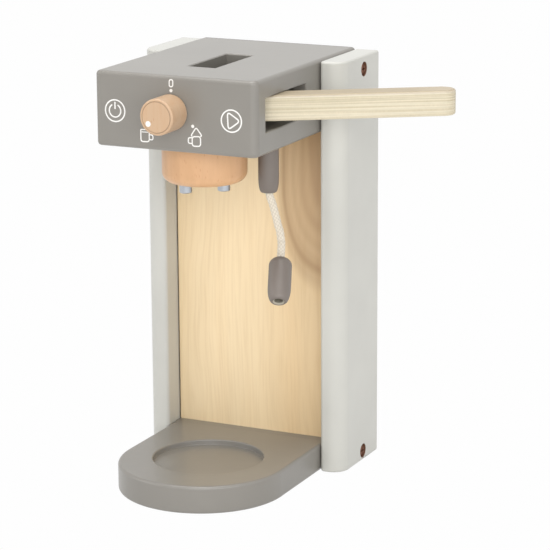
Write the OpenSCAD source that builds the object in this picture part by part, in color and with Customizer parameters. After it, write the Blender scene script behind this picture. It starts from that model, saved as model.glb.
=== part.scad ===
// Toy coffee maker: a wooden role-play machine for capsules, with a head that stands
// out over a cup base between two posts, a swinging side lever, a turning knob,
// a round spout with two nozzles and a milk wand that hangs on a cord.
// Millimetres. Origin: middle of the underside. +Z up, front towards -Y.

/* [Posts] */
// Height of each side post
post_h = 270; // [240:1:320]
// Thickness of each side post
post_t = 16; // [14:0.5:22]
// Depth of each side post, front to back
post_d = 58; // [54:1:80]
// Clear width between the posts
inner_w = 111; // [106:1:130]
// Rounding of the posts' outer front edges
post_outer_r = 11; // [4:0.5:12]
// Rounding of the posts' inner front edges
post_inner_r = 4; // [1:0.5:5]
// Rounding of the posts' ends and back edges
post_arris = 1.5; // [0.5:0.5:3]

/* [Base] */
// Thickness of the base board
base_t = 18; // [16:1:24]
// Reach of the base in front of the posts
base_reach = 112; // [100:1:125]
// Rounding of the base board's rim
base_arris = 2; // [0.5:0.5:4]
// Diameter of the cup recess
recess_d = 71; // [50:1:90]
// Depth of the cup recess
recess_depth = 3.5; // [1:0.5:6]
// Distance of the pouring axis in front of the posts
pour_reach = 51; // [44:1:54]

/* [Back panel] */
// Thickness of the back panel
panel_t = 6; // [4:0.5:9]
// Set-back of the panel behind the posts' front faces
panel_setback = 16; // [12:1:22]
// Depth of the grooves that hold the panel
groove_depth = 3; // [2:0.5:5]

/* [Head] */
// Reach of the head in front of the posts
head_reach = 90; // [84:1:100]
// Thickness of the head's top above the lever's bay
head_top_t = 12; // [10:1:16]
// Height of the lever's bay
bay_h = 21; // [20:0.5:30]
// Thickness of the head's floor board
head_floor_t = 14; // [10:1:18]
// How far the head stands above the posts
head_rise = 1; // [0:0.5:4]
// Rounding of the head's left front edge
head_left_r = 3; // [1:0.5:8]
// Rounding of the head's right front edge
head_corner_r = 5; // [2:0.5:8]
// Rounding of the head's upper and lower edges
head_arris = 2.5; // [0.5:0.5:4]
// Thickness of the head's front wall
front_wall = 8; // [6:0.5:10]
// Thickness of the head's right wall
side_wall = 9; // [7:0.5:12]
// Thickness of the walls of the capsule well
well_wall = 7; // [5:0.5:8]

/* [Capsule slot] */
// Width of the capsule slot
slot_w = 19; // [14:0.5:20]
// Length of the capsule slot
slot_l = 54; // [44:1:56]
// Distance from the head's front to the capsule slot
slot_front = 34.5; // [32:0.5:38]

/* [Lever] */
// Width of the lever
lever_w = 17; // [12:0.5:18]
// Thickness of the lever
lever_t = 16; // [10:0.5:16.5]
// Overall length of the lever
lever_l = 149; // [120:1:180]
// Rounding of the lever's edges
lever_arris = 1.7; // [0.5:0.1:3]
// Angle of the lever from the head's side, swung to the rear
lever_rest = 33; // [20:1:45]
// Distance from the head's right side to the lever's pivot
pivot_inset = 27.5; // [24:0.5:29]
// Gap between the lever's inner end and the head's front wall
lever_end_gap = 0.5; // [0.3:0.1:1]
// Gap between the lever and its spacer
lever_play = 0.2; // [0.1:0.1:0.3]
// Diameter of the lever's pivot dowel
pivot_d = 8; // [6:0.5:10]
// Thickness of the spacer under the lever
spacer_t = 4.2; // [3:0.1:4.4]
// Wall of the spacer
spacer_wall = 3.5; // [2:0.5:4]
// Length of the slot that the lever swings in
lever_slot_l = 58; // [56:1:62]
// Distance from the head's front to the lever's slot
lever_slot_front = 13; // [12:0.5:14]

/* [Knob] */
// Distance of the knob's axis to the left of the head's middle
dial_left = 2.5; // [0:0.5:4]
// Diameter of the knob
knob_d = 22.5; // [20:0.5:32]
// Length of the knob
knob_l = 19; // [16:0.5:28]
// Diameter of the knob's axle
axle_d = 8; // [6:0.5:10]
// Depth of the axle in the knob
axle_seat = 12; // [8:0.5:13]
// Rounding of the knob's face edge
knob_round = 2; // [0.5:0.5:4]

/* [Spout] */
// Diameter of the spout block
spout_d = 53.5; // [46:0.5:58]
// Height of the spout block
spout_h = 24.7; // [18:0.1:32]
// Rounding of the spout block's lower edge
spout_round = 5; // [2:0.5:7]
// Thickness of the spout block above its screw's recess
spout_web = 13; // [8:1:16]
// Outer diameter of each nozzle
nozzle_d = 8; // [6:0.5:10]
// Wall of each nozzle
nozzle_wall = 1; // [0.5:0.1:1.5]
// Distance between the nozzles' axes
nozzle_pitch = 24.3; // [22:0.1:30]
// How far the nozzles stand out of the block
nozzle_proud = 7; // [4:0.5:12]
// Depth of the nozzles in the block
nozzle_seat = 10; // [6:0.5:14]
// Turn of the nozzle pair from square
nozzle_turn = 38.6; // [0:0.1:90]

/* [Milk wand] */
// Diameter of the wand's holder
holder_d = 13; // [12:0.5:16]
// Length of the wand's holder, down to where the cord leaves it
holder_l = 32.5; // [28:0.5:38]
// Diameter of the wand
wand_d = 14.5; // [12:0.5:18]
// Length of the wand
wand_l = 32; // [28:1:45]
// Diameter of the hole in the wand's tip
wand_hole_d = 5.5; // [3:0.5:7]
// Diameter of the cord
cord_d = 5; // [3.5:0.5:5.5]

/* [Fasteners] */
// Shank diameter of the long side screws
screw_d = 4; // [3:0.5:5]
// Length of the long side screws
screw_l = 40; // [34:1:46]
// Head diameter of the long side screws
screw_head_d = 8.9; // [7:0.1:9.2]
// Diameter of the holes that the screw heads sit in
counterbore_d = 9.4; // [9.4:0.1:11]
// Depth of those holes above the screw heads
counterbore_above = 0.7; // [0.3:0.1:3]
// Height of the lower side screws above the underside
base_screw_z = 6.4; // [6:0.1:9]
// Distance of the upper side screws below the head's top face
head_screw_below = 9.8; // [6:0.1:12]
// Distance of the side screws from the back
side_screw_back = 24; // [16:1:30]
// Diameter of the locating dowels
dowel_d = 8; // [6:0.5:10]
// Length of the locating dowels
dowel_l = 30; // [24:1:36]
// Length of each locating dowel in its post
dowel_in_post = 10; // [8:1:12]

/* [Hidden] */

$fn = 72;
cut = 1;              // how far a cutting solid runs past a face
fit = 0.05;           // radial gap of a glued or screwed joint
running = 0.08;       // radial gap of a turning joint
free_gap = 0.3;       // gap between pieces that move past each other

// Levels
head_top_z = post_h + head_rise;
bay_top_z = head_top_z - head_top_t;
bay_floor_z = bay_top_z - bay_h;
bay_mid_z = (bay_floor_z + bay_top_z) / 2;
head_under_z = bay_floor_z - head_floor_t;
head_screw_z = head_top_z - head_screw_below;

// Plan, with the origin in the middle of the whole depth
whole_d = post_d + base_reach;
back_y = whole_d / 2;
post_front_y = back_y - post_d;
base_front_y = -whole_d / 2;
head_d = head_reach + post_d;
head_front_y = post_front_y - head_reach;
pour_y = post_front_y - pour_reach;
panel_front_y = post_front_y + panel_setback;
side_x = inner_w / 2;
outer_x = side_x + post_t;
side_screw_y = back_y - side_screw_back;
base_dowel_y = post_front_y + dowel_d * 1.5;
head_dowel_y = side_screw_y;

// Hollows of the head
bay_x0 = slot_w / 2 + well_wall;
bay_x1 = side_x - side_wall;
bay_front_y = head_front_y + front_wall;
lever_slot_y = head_front_y + lever_slot_front;
bay_back_y = lever_slot_y + lever_slot_l + 5;
well_y = head_front_y + slot_front;
pocket_x = -slot_w / 2 - 3;
outer_r = min(post_outer_r, post_t - post_inner_r - 0.5);

// Lever
pivot_x = side_x - pivot_inset;
pivot_y = bay_front_y + lever_w / 2 + lever_end_gap;
lever_z = bay_floor_z + spacer_t + lever_play;
pivot_low_z = bay_floor_z - head_floor_t / 2;
pivot_high_z = bay_top_z + head_top_t / 2;

// Screws and washers
screw_head_h = 2.6;
counterbore_depth = screw_head_h + counterbore_above;
panhead_d = 7;
panhead_h = 2.4;
small_screw_d = 3.5;
thread_in = 10;       // hold of a small screw in the wood
washer_d = 14;
washer_t = 1.5;
blind_skin = 2;       // wood left over the end of a blind hole
floor_screw_edge = 5.8;
floor_screw_back = 14;

// Knob: the axle ends a little proud of the wall's inner face, under its washer
axle_proud = 0.6;
axle_end = free_gap + front_wall + axle_proud;

// Spout
spout_top_z = head_under_z - free_gap;
spout_under_z = spout_top_z - spout_h;
spout_seat_z = spout_top_z - spout_web;
spout_washer_d = 12;

// Milk wand: the cord hangs from a ball-shaped end inside the holder's mouth
holder_x = 36;
holder_y = -7;
mouth_depth = 3;
mouth_r = cord_d / 2 + 1.7;
holder_tip_r = mouth_r + 0.3;
wand_lean = 45;
wand_heading = 21.5;
wand_shoulder = 4;
wand_hole_depth = 8;
// Route of the cord, from its end in the holder to the top of the wand
CORD = [[36, -7, 194.5], [36, -7, 193], [36.5, -7, 190.5], [37, -6.5, 187.5],
        [38, -6, 184.5], [39, -6, 181], [40, -6, 177.5], [41, -6, 174], [42, -6.5, 171],
        [43.5, -7, 167.5], [44.5, -8, 164.5], [45.5, -9, 161], [46.5, -11, 158.5],
        [47.2, -13, 155.2], [48, -15, 153]];

// ---------- shapes ----------

// Half of a rim's section: a board of radius r and thickness t with rounded edges
module rim_section(r, t, arris) {
    square([r - arris, t]);
    translate([0, arris])
        square([r, t - 2 * arris]);
    for (z = [arris, t - arris])
        translate([r - arris, z])
            circle(arris, $fn = 32);
}

// The whole section of a bar, as wide as two radii
module bar_section(r, t, arris) {
    rim_section(r, t, arris);
    mirror([1, 0])
        rim_section(r, t, arris);
}

// Half a disc with a rounded rim, its round side towards -Y
module half_disc(r, t, arris) {
    rotate([0, 0, 180])
        rotate_extrude(angle = 180)
            rim_section(r, t, arris);
}

// A straight bar along +Y from the origin, with rounded long edges
module bar_y(r, t, arris, length) {
    rotate([90, 0, 0])
        translate([0, 0, -length])
            linear_extrude(length)
                bar_section(r, t, arris);
}

// A rectangle with its own radius at each front corner and one at both back corners
module round_rect(w, d, left_r, right_r, back_r) {
    polygon([[-w / 2 + left_r, 0], [w / 2 - right_r, 0], [w / 2, right_r], [w / 2, d - back_r],
             [w / 2 - back_r, d], [-w / 2 + back_r, d], [-w / 2, d - back_r],
             [-w / 2, left_r]]);
    translate([-w / 2 + left_r, left_r])
        circle(left_r);
    translate([w / 2 - right_r, right_r])
        circle(right_r);
    for (side = [-1, 1])
        translate([side * (w / 2 - back_r), d - back_r])
            circle(back_r);
}

// A rectangle with chosen corners rounded: lower pair and upper pair
module end_rounded_rect(w, h, low_r, high_r) {
    translate([-w / 2, low_r])
        square([w, h - low_r - high_r]);
    if (low_r > 0)
        translate([-w / 2 + low_r, 0])
            square([w - 2 * low_r, h / 2]);
    if (high_r > 0)
        translate([-w / 2 + high_r, h / 2])
            square([w - 2 * high_r, h / 2]);
    for (side = [-1, 1]) {
        if (low_r > 0)
            translate([side * (w / 2 - low_r), low_r])
                circle(low_r, $fn = 32);
        if (high_r > 0)
            translate([side * (w / 2 - high_r), h - high_r])
                circle(high_r, $fn = 32);
    }
}

// A board of width w, depth d and thickness t that stands on z = 0 with its front at
// y = 0, its corners rounded in plan, and its lower and upper edges broken
module soft_board(w, d, t, left_r, right_r, back_r, low_r, high_r) {
    intersection() {
        linear_extrude(t)
            round_rect(w, d, left_r, right_r, back_r);
        rotate([90, 0, 0])
            translate([0, 0, -d - cut])
                linear_extrude(d + 2 * cut)
                    end_rounded_rect(w, t, low_r, high_r);
        translate([-w / 2 - cut, d / 2, 0])
            rotate([90, 0, 90])
                linear_extrude(w + 2 * cut)
                    end_rounded_rect(d, t, low_r, high_r);
    }
}

// A turned piece that hangs from z = 0: straight sides, a rounded shoulder and a tip
// that draws in to tip_r along a quarter ellipse
module turned(length, r, shoulder, tip_len, tip_r) {
    shoulder_arc = [for (a = [0 : 15 : 90])
        [r - shoulder + shoulder * sin(a), -shoulder + shoulder * cos(a)]];
    tip_arc = [for (a = [0 : 15 : 90])
        [tip_r + (r - tip_r) * cos(a), -length + tip_len - tip_len * sin(a)]];
    rotate_extrude()
        polygon(concat([[0, 0]], shoulder_arc, tip_arc, [[0, -length]]));
}

// A wood screw that stands on its point side: head top at z = 0, shank towards -Z
module wood_screw(length, d, head_d, head_h) {
    point = d;
    difference() {
        union() {
            translate([0, 0, -head_h])
                cylinder(h = head_h * 0.4, d = head_d);
            translate([0, 0, -head_h * 0.6])
                cylinder(h = head_h * 0.6, d1 = head_d, d2 = head_d * 0.55);
            translate([0, 0, point - length])
                cylinder(h = length - point - head_h / 2, d = d);
            translate([0, 0, -length])
                cylinder(h = point, d1 = 0.6, d2 = d);
        }
        for (turn = [0, 90])
            rotate([0, 0, turn])
                translate([-head_d * 0.25, -0.45, -head_h * 0.6])
                    cube([head_d * 0.5, 0.9, head_h]);
    }
}

// A countersunk wood screw: flat head top at z = 0, shank towards -Z
module countersunk_screw(length, d) {
    point = d;
    difference() {
        union() {
            translate([0, 0, -d])
                cylinder(h = d, d1 = d, d2 = 2 * d);
            translate([0, 0, point - length])
                cylinder(h = length - point - d / 2, d = d);
            translate([0, 0, -length])
                cylinder(h = point, d1 = 0.6, d2 = d);
        }
        for (turn = [0, 90])
            rotate([0, 0, turn])
                translate([-d * 0.5, -0.4, -d * 0.6])
                    cube([d, 0.8, d]);
    }
}

// The hole for a countersunk screw, its mouth at z = 0
module countersunk_hole(depth, d) {
    translate([0, 0, -depth])
        cylinder(h = depth + cut, d = d + 2 * fit);
    translate([0, 0, -d - fit])
        cylinder(h = d + fit, d1 = d, d2 = 2 * (d + fit));
    cylinder(h = cut, d = 2 * (d + fit));
}

// ---------- places that pieces share ----------

// The pair of side screws at one height, each with its head outwards
module at_side_screws(z) {
    for (side = [-1, 1])
        translate([side * (outer_x - counterbore_above), side_screw_y, z])
            rotate([0, side * 90, 0])
                children();
}

// The middles of a pair of locating dowels, one through each side face
module at_dowels(y, z) {
    for (side = [-1, 1])
        translate([side * (side_x + dowel_in_post - dowel_l / 2), y, z])
            rotate([0, 90, 0])
                children();
}

module dowel(extra) {
    cylinder(h = dowel_l + 2 * extra, d = dowel_d + 2 * extra, center = true);
}

module at_lever() {
    translate([pivot_x, pivot_y, 0])
        rotate([0, 0, lever_rest])
            children();
}

module at_knob() {
    translate([-dial_left, head_front_y - free_gap, bay_mid_z])
        rotate([90, 0, 0])
            children();
}

module at_nozzle(side) {
    translate([0, pour_y, spout_under_z])
        rotate([0, 0, nozzle_turn])
            translate([side * nozzle_pitch / 2, 0, 0])
                children();
}

// Screws up through the head's floor: two in the front corners, two in the rear
module at_floor_screws() {
    front = [side_x - floor_screw_edge, head_front_y + floor_screw_edge];
    rear = [side_x - floor_screw_back, back_y - floor_screw_back];
    for (side = [-1, 1], place = [front, rear])
        translate([side * place[0], place[1], head_under_z])
            rotate([180, 0, 0])
                children();
}

module at_holder() {
    translate([holder_x, holder_y, head_under_z])
        children();
}

// ---------- body ----------

module base() {
    color("#9c9183")
    difference() {
        union() {
            translate([0, base_front_y + side_x, 0]) {
                half_disc(side_x, base_t, base_arris);
                bar_y(side_x, base_t, base_arris, whole_d - side_x);
            }
            // the part between the posts keeps square edges against them
            translate([-side_x, post_front_y + base_arris, 0])
                cube([inner_w, post_d - base_arris, base_t]);
        }
        translate([0, pour_y, base_t - recess_depth])
            cylinder(h = recess_depth + cut, d = recess_d);
        translate([0, pour_y, base_t - 1])
            cylinder(h = 1 + cut, d1 = recess_d - 0.4, d2 = recess_d + 2 + 2 * cut);
        at_side_screws(base_screw_z)
            translate([0, 0, -screw_l - fit])
                cylinder(h = screw_l, d = screw_d + 2 * fit);
        at_dowels(base_dowel_y, base_t / 2)
            dowel(fit);
    }
}

module post(side) {
    left_r = side > 0 ? post_inner_r : outer_r;
    right_r = side > 0 ? outer_r : post_inner_r;
    color("#cfcdc6")
    difference() {
        translate([side * (side_x + post_t / 2), post_front_y, 0])
            soft_board(post_t, post_d, post_h, left_r, right_r, post_arris, post_arris,
                       post_arris);
        translate([-side_x - groove_depth, panel_front_y, base_t])
            cube([inner_w + 2 * groove_depth, panel_t + 2 * fit, head_under_z - base_t]);
        for (z = [base_screw_z, head_screw_z])
            at_side_screws(z) {
                translate([0, 0, -post_t - cut])
                    cylinder(h = post_t + cut, d = screw_d + 2 * fit);
                translate([0, 0, -screw_head_h])
                    cylinder(h = counterbore_depth + cut, d = counterbore_d);
            }
        at_dowels(base_dowel_y, base_t / 2)
            dowel(fit);
        at_dowels(head_dowel_y, bay_mid_z)
            dowel(fit);
    }
}

module post_left() {
    post(-1);
}

module post_right() {
    post(1);
}

module back_panel() {
    color("#e9d0a3")
    translate([-side_x - groove_depth + 0.2, panel_front_y + fit, base_t])
        cube([inner_w + 2 * groove_depth - 0.4, panel_t, head_under_z - base_t]);
}

module base_side_screws() {
    color("#6e4a35")
    at_side_screws(base_screw_z)
        wood_screw(screw_l, screw_d, screw_head_d, screw_head_h);
}

module base_dowels() {
    color("#d9b98c")
    at_dowels(base_dowel_y, base_t / 2)
        dowel(0);
}

// ---------- head ----------

module head_board(t, low_r, high_r) {
    translate([0, head_front_y, 0])
        soft_board(inner_w, head_d, t, head_left_r, head_corner_r, post_arris, low_r,
                   high_r);
}

module head_shell() {
    bore_l = front_wall + 2 * cut;
    color("#97928a")
    difference() {
        translate([0, 0, bay_floor_z])
            head_board(bay_h + head_top_t, 0, head_arris);
        // well for a capsule, right through
        translate([-slot_w / 2, well_y, bay_floor_z - cut])
            cube([slot_w, slot_l, bay_h + head_top_t + 2 * cut]);
        // bay for the lever, its way out through the side, and the knob's pocket
        translate([bay_x0, bay_front_y, bay_floor_z - cut])
            cube([bay_x1 - bay_x0, bay_back_y - bay_front_y, bay_h + cut]);
        translate([bay_x1 - cut, lever_slot_y, bay_floor_z - cut])
            cube([side_wall + 2 * cut, lever_slot_l, bay_h + cut]);
        translate([pocket_x, bay_front_y, bay_floor_z - cut])
            cube([bay_x0 - pocket_x + cut, slot_front - front_wall - well_wall, bay_h + cut]);
        at_knob()
            translate([0, 0, free_gap - bore_l])
                cylinder(h = bore_l, d = axle_d + 2 * running);
        translate([pivot_x, pivot_y, bay_top_z - cut])
            cylinder(h = head_top_t / 2 + cut, d = pivot_d + 2 * fit);
        at_side_screws(head_screw_z)
            translate([0, 0, -screw_l - fit])
                cylinder(h = screw_l, d = screw_d + 2 * fit);
        at_dowels(head_dowel_y, bay_mid_z)
            dowel(fit);
        at_floor_screws()
            translate([0, 0, -head_floor_t - thread_in])
                cylinder(h = thread_in + cut, d = small_screw_d + 2 * fit);
    }
}

module head_floor() {
    color("#97928a")
    difference() {
        translate([0, 0, head_under_z])
            head_board(head_floor_t, head_arris, 0);
        at_floor_screws()
            countersunk_hole(head_floor_t + cut, small_screw_d);
        translate([pivot_x, pivot_y, pivot_low_z])
            cylinder(h = head_floor_t, d = pivot_d + 2 * fit);
        translate([0, pour_y, head_under_z - cut])
            cylinder(h = head_floor_t - blind_skin + cut, d = screw_d + 2 * fit);
        at_holder()
            translate([0, 0, head_floor_t])
                countersunk_hole(head_floor_t + cut, small_screw_d);
    }
}

module head_side_screws() {
    color("#6e4a35")
    at_side_screws(head_screw_z)
        wood_screw(screw_l, screw_d, screw_head_d, screw_head_h);
}

module head_dowels() {
    color("#d9b98c")
    at_dowels(head_dowel_y, bay_mid_z)
        dowel(0);
}

module head_floor_screws() {
    color("#8d8f92")
    at_floor_screws()
        translate([0, 0, -fit])
            countersunk_screw(head_floor_t + thread_in - fit, small_screw_d);
}

// ---------- lever ----------

module lever() {
    end_r = lever_w / 2;
    straight = lever_l - lever_w;
    color("#e4dab9")
    at_lever()
        difference() {
            translate([0, 0, lever_z])
                rotate([0, 0, -90]) {
                    half_disc(end_r, lever_t, lever_arris);
                    bar_y(end_r, lever_t, lever_arris, straight);
                    translate([0, straight, 0])
                        rotate([0, 0, 180])
                            half_disc(end_r, lever_t, lever_arris);
                }
            translate([0, 0, lever_z - cut])
                cylinder(h = lever_t + 2 * cut, d = pivot_d + 2 * running);
        }
}

module lever_pivot() {
    color("#d9b98c")
    translate([pivot_x, pivot_y, pivot_low_z + fit])
        cylinder(h = pivot_high_z - pivot_low_z - 2 * fit, d = pivot_d);
}

module lever_spacer() {
    color("#d9b98c")
    translate([pivot_x, pivot_y, bay_floor_z])
        difference() {
            cylinder(h = spacer_t, d = pivot_d + 2 * spacer_wall);
            translate([0, 0, -cut])
                cylinder(h = spacer_t + 2 * cut, d = pivot_d + 2 * fit);
        }
}

// ---------- knob ----------

module knob() {
    color("#e3b78e")
    at_knob()
        difference() {
            rotate([180, 0, 0])
                turned(knob_l, knob_d / 2, 0.6, knob_round, knob_d / 2 - knob_round);
            translate([0, 0, -cut])
                cylinder(h = axle_seat + cut, d = axle_d + 2 * fit);
        }
}

module knob_axle() {
    color("#d9b98c")
    at_knob()
        difference() {
            translate([0, 0, -axle_end])
                cylinder(h = axle_end + axle_seat - fit, d = axle_d);
            translate([0, 0, -axle_end - cut])
                cylinder(h = thread_in + 2 * cut, d = small_screw_d + 2 * fit);
        }
}

module knob_washer() {
    color("#b9bcc0")
    at_knob()
        translate([0, 0, -axle_end - washer_t])
            difference() {
                cylinder(h = washer_t, d = washer_d);
                translate([0, 0, -cut])
                    cylinder(h = washer_t + 2 * cut, d = small_screw_d + 2 * fit);
            }
}

module knob_screw() {
    color("#b9bcc0")
    at_knob()
        translate([0, 0, -axle_end - washer_t - panhead_h])
            rotate([180, 0, 0])
                wood_screw(panhead_h + washer_t + thread_in, small_screw_d, panhead_d,
                           panhead_h);
}

// ---------- spout ----------

module spout_block() {
    color("#e3b78e")
    difference() {
        translate([0, pour_y, spout_top_z])
            turned(spout_h, spout_d / 2, 0.8, spout_round, spout_d / 2 - spout_round);
        translate([0, pour_y, spout_under_z - cut]) {
            cylinder(h = spout_h + 2 * cut, d = screw_d + 2 * running);
            cylinder(h = spout_h - spout_web + cut, d = spout_washer_d + 2 * free_gap);
        }
        for (side = [-1, 1])
            at_nozzle(side)
                translate([0, 0, -cut])
                    cylinder(h = nozzle_seat + cut, d = nozzle_d + 2 * fit);
    }
}

module nozzle(side) {
    rim = 0.5;
    color("#c3c6ca")
    at_nozzle(side)
        translate([0, 0, -nozzle_proud])
            difference() {
                union() {
                    cylinder(h = rim, d1 = nozzle_d - 2 * rim, d2 = nozzle_d);
                    translate([0, 0, rim])
                        cylinder(h = nozzle_proud + nozzle_seat - fit - rim, d = nozzle_d);
                }
                translate([0, 0, -cut])
                    cylinder(h = nozzle_proud + nozzle_seat + 2 * cut,
                             d = nozzle_d - 2 * nozzle_wall);
            }
}

module nozzle_left() {
    nozzle(-1);
}

module nozzle_right() {
    nozzle(1);
}

module spout_screw() {
    length = panhead_h + washer_t + spout_web + free_gap + head_floor_t - blind_skin - fit;
    color("#b9bcc0")
    translate([0, pour_y, spout_seat_z - washer_t - panhead_h])
        rotate([180, 0, 0])
            wood_screw(length, screw_d, panhead_d + 1, panhead_h);
}

module spout_washer() {
    color("#b9bcc0")
    translate([0, pour_y, spout_seat_z - washer_t])
        difference() {
            cylinder(h = washer_t - fit, d = spout_washer_d);
            translate([0, 0, -cut])
                cylinder(h = washer_t + 2 * cut, d = screw_d + 2 * fit);
        }
}

// ---------- milk wand ----------

module frother_holder() {
    socket_r = cord_d / 2 + free_gap;
    color("#8e857b")
    at_holder()
        difference() {
            turned(holder_l, holder_d / 2, 0.4, 9, holder_tip_r);
            translate([0, 0, -thread_in - cut])
                cylinder(h = thread_in + 2 * cut, d = small_screw_d + 2 * fit);
            translate([0, 0, -holder_l - cut])
                cylinder(h = 2 * cut, r = mouth_r);
            translate([0, 0, -holder_l])
                cylinder(h = mouth_depth, r1 = mouth_r, r2 = socket_r);
            translate([0, 0, -holder_l + mouth_depth / 2])
                cylinder(h = mouth_depth / 2 + socket_r, r = socket_r);
        }
}

module frother_holder_screw() {
    color("#8d8f92")
    at_holder()
        translate([0, 0, head_floor_t - fit])
            countersunk_screw(head_floor_t + thread_in, small_screw_d);
}

// Unit vector along v
function unit(v) = v / norm(v);

// Direction of a route at point i
function heading(route, i) =
    unit(route[min(i + 1, len(route) - 1)] - route[max(i - 1, 0)]);

// One ring of a tube round a centre, square to a direction
function ring(centre, dir, r, sides) =
    let (across = unit(cross(dir, [0, 1, 0])), up = cross(dir, across))
    [for (k = [0 : sides - 1])
        centre + r * (cos(360 * k / sides) * across + sin(360 * k / sides) * up)];

// A tube along a route, with a ball-shaped first end and a square last end
module tube(route, r, sides) {
    ball = [for (a = [75 : -25 : 25]) [route[0] - r * sin(a) * heading(route, 0), r * cos(a)]];
    centres = concat([for (b = ball) b[0]], route);
    radii = concat([for (b = ball) b[1]], [for (p = route) r]);
    dirs = concat([for (b = ball) heading(route, 0)],
                  [for (i = [0 : len(route) - 1]) heading(route, i)]);
    n = len(centres);
    points = [for (i = [0 : n - 1]) each ring(centres[i], dirs[i], radii[i], sides)];
    sides_faces = [for (i = [0 : n - 2], k = [0 : sides - 1])
        [i * sides + k, i * sides + (k + 1) % sides,
         (i + 1) * sides + (k + 1) % sides, (i + 1) * sides + k]];
    first = [for (k = [sides - 1 : -1 : 0]) k];
    last = [for (k = [0 : sides - 1]) (n - 1) * sides + k];
    polyhedron(points = points, faces = concat(sides_faces, [first, last]), convexity = 6);
}

module frother_cord() {
    color("#ebe1c8")
    tube(CORD, cord_d / 2, 8);
}

module frother_wand() {
    color("#8e857b")
    translate(CORD[len(CORD) - 1])
        rotate([0, 0, wand_heading])
            rotate([-wand_lean, 0, 0])
                difference() {
                    turned(wand_l, wand_d / 2, wand_shoulder, 10, wand_d / 2 - 3);
                    translate([0, 0, -wand_l - cut])
                        cylinder(h = wand_hole_depth + cut, d = wand_hole_d);
                }
}

base();
post_left();
post_right();
back_panel();
head_shell();
head_floor();
head_floor_screws();
head_side_screws();
base_side_screws();
head_dowels();
base_dowels();
lever();
lever_pivot();
lever_spacer();
knob();
knob_axle();
knob_washer();
knob_screw();
spout_block();
spout_screw();
spout_washer();
nozzle_left();
nozzle_right();
frother_holder();
frother_holder_screw();
frother_cord();
frother_wand();
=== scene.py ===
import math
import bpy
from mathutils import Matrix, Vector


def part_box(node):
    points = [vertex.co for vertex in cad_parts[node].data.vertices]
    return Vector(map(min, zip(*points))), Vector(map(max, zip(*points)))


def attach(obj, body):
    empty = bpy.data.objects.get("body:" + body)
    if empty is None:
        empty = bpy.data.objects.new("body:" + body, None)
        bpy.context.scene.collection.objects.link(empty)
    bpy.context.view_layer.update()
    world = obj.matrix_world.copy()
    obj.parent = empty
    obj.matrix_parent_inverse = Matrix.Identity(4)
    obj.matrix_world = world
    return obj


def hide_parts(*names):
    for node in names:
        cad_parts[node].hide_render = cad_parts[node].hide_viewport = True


bl_info = {
    "name": "Toy Coffee Maker",
    "version": (1, 0, 0),
    "blender": (4, 5, 0),
    "location": "View3D > Sidebar > Coffee Maker",
    "description": "Dresses the frame of a wooden toy coffee maker with its finished pieces",
    "category": "Object",
}

import bmesh
import bpy
from bpy.props import FloatProperty, FloatVectorProperty, IntProperty, PointerProperty
from mathutils import Matrix, Quaternion, Vector

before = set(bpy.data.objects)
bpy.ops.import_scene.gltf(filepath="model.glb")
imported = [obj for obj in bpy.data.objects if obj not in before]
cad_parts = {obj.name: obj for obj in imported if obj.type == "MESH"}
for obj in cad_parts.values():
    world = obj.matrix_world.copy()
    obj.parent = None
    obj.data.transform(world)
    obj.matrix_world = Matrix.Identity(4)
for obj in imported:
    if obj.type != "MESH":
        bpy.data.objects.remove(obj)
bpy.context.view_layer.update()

MM = 0.001
AWAY = 0.002  # how far a cutting solid runs past a face
NEAR = 1e-5   # how close to a face a point counts as on it


# ---------------------------------------------------------------- sizes and colours

def length(name, description, default):
    """A size in metres that a user can set."""
    return FloatProperty(name=name, description=description, default=default, min=0.0,
                         unit="LENGTH", precision=4)


def angle(name, description, degrees):
    """An angle that a user can set."""
    return FloatProperty(name=name, description=description, default=math.radians(degrees),
                         subtype="ANGLE")


def colour(name, description, default):
    """A finish colour that a user can set."""
    return FloatVectorProperty(name=name, description=description, default=default,
                               subtype="COLOR", size=3, min=0.0, max=1.0)


class MakerBoards(bpy.types.PropertyGroup):
    """Sizes of the painted boards"""

    post_outer: length("Post outer edge", "Rounding of the posts' outer front edges", 11 * MM)
    post_inner: length("Post inner edge", "Rounding of the posts' inner front edges", 2.5 * MM)
    post_arris: length("Post arris", "Rounding of the posts' ends", 1.5 * MM)
    base_arris: length("Base arris", "Rounding of the base board's rim", 2 * MM)
    recess_radius: length("Recess radius", "Radius of the cup recess", 35.5 * MM)
    recess_depth: length("Recess depth", "Depth of the cup recess", 3.5 * MM)
    recess_rim: length("Recess rim", "Rounding of the recess's rim", 0.9 * MM)
    head_left: length("Head left edge", "Rounding of the head's left front edge", 3 * MM)
    head_right: length("Head right edge", "Rounding of the head's right front edge", 5 * MM)
    head_arris: length("Head arris", "Rounding of the head's long edges", 2.5 * MM)
    slot_rim: length("Slot rim", "Rounding of the edges of the slots", 0.6 * MM)
    slot_width: length("Slot width", "Width of the capsule slot", 19 * MM)
    slot_length: length("Slot length", "Length of the capsule slot", 54 * MM)
    slot_front: length("Slot front", "Distance of the capsule slot from the front", 36 * MM)
    bay_height: length("Bay height", "Height of the lever's bay", 21 * MM)
    bay_wall: length("Bay wall", "Thickness of the head's right wall", 9 * MM)
    well_wall: length("Well wall", "Wall between the capsule slot and the bay", 7 * MM)
    front_wall: length("Front wall", "Thickness of the head's front wall", 8 * MM)
    bay_front: length("Bay front", "Distance of the lever's slot from the front", 13 * MM)
    bay_length: length("Bay length", "Length of the lever's slot", 58 * MM)
    hole_radius: length("Screw hole", "Radius of the holes over the screws", 4.7 * MM)
    hole_depth: length("Screw hole depth", "Depth of the holes over the screws", 3.3 * MM)
    joint: length("Panel joint", "Width of the dark joint beside the panel", 1.0 * MM)
    gap: length("Gap", "Gap between the posts and the boards that they hold", 0.5 * MM)


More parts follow.
